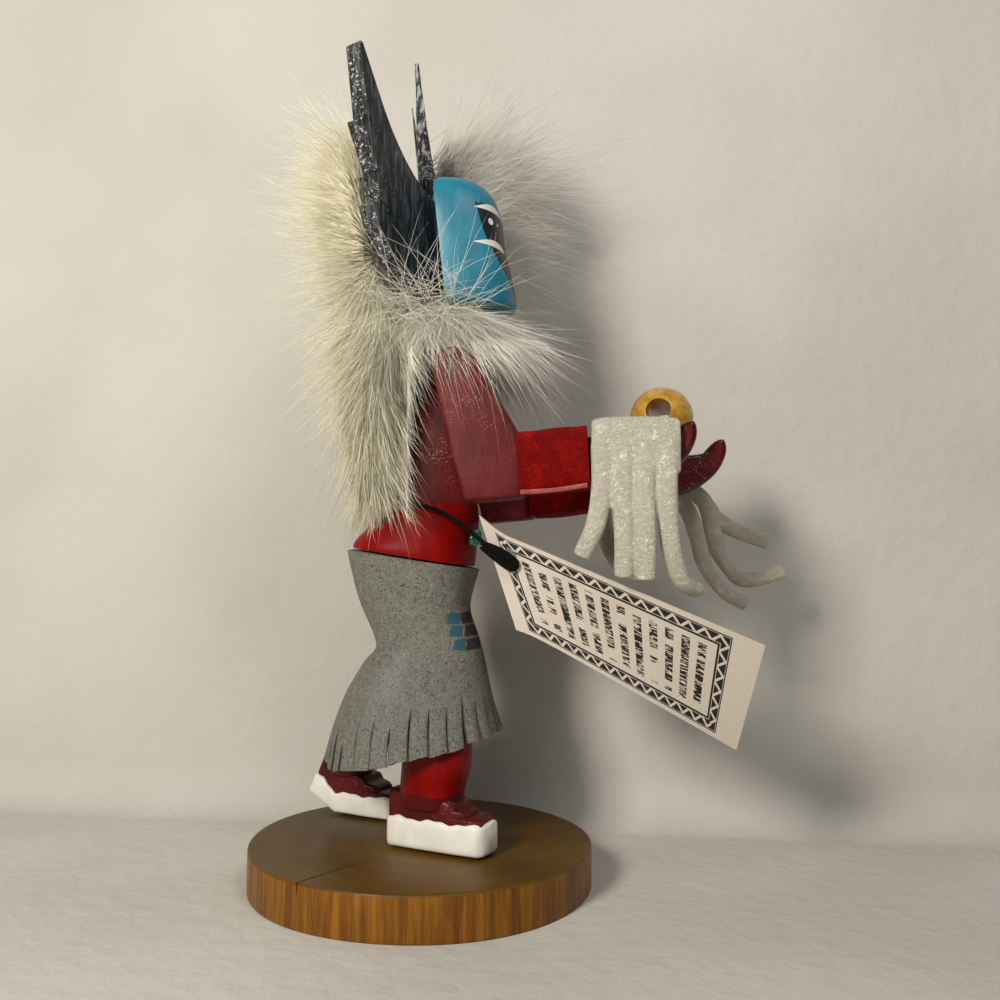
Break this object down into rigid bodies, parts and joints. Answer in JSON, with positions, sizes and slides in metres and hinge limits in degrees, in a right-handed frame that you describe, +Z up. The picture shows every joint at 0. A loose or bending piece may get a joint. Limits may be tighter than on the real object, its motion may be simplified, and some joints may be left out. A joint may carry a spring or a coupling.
{
  "type": "kachina doll",
  "caption": "Small carved and painted kachina doll with a flat-backed mask, stepped wings, suede kilt, fur wrap and felt fringe, on a round wood slice.",
  "frame": {"origin": "centre of the base's flat underside, on the surface that the doll stands on", "axes": "+Z up, the doll faces -Y and its right side is at -X"},
  "size_m": [0.0598, 0.0942, 0.1506],
  "materials": {
    "base_wood": "varnished, golden brown with dark rings",
    "body_paint": "brushed acrylic paint over wood: maroon, bright red and white",
    "mask_paint": "satin turquoise paint with black and white markings",
    "wing_paint": "matt charcoal paint, edges dry-brushed white",
    "red_felt": "felted wool, bright red",
    "suede": "napped grey suede",
    "cream_felt": "thick fuzzy cream felt",
    "bead_wood": "polished honey-coloured wood",
    "green_stone": "polished",
    "rabbit_fur": "long soft cream fur with fine guard hairs",
    "card": "uncoated card with a black printed border",
    "elastic": "black covered elastic"
  },
  "bodies": {
    "root": {"base": "base_wood", "figure": "body_paint", "head": "mask_paint", "right_wing": "wing_paint", "left_wing": "wing_paint", "right_arm": "body_paint", "left_arm": "body_paint", "right_cuff": "red_felt", "left_cuff": "red_felt", "kilt": "suede", "fringe": "cream_felt", "bead": "bead_wood", "belt_stone": "green_stone", "fur_wrap": "rabbit_fur", "tag": "card", "tag_cord": "elastic"}
  },
  "joints": []
}
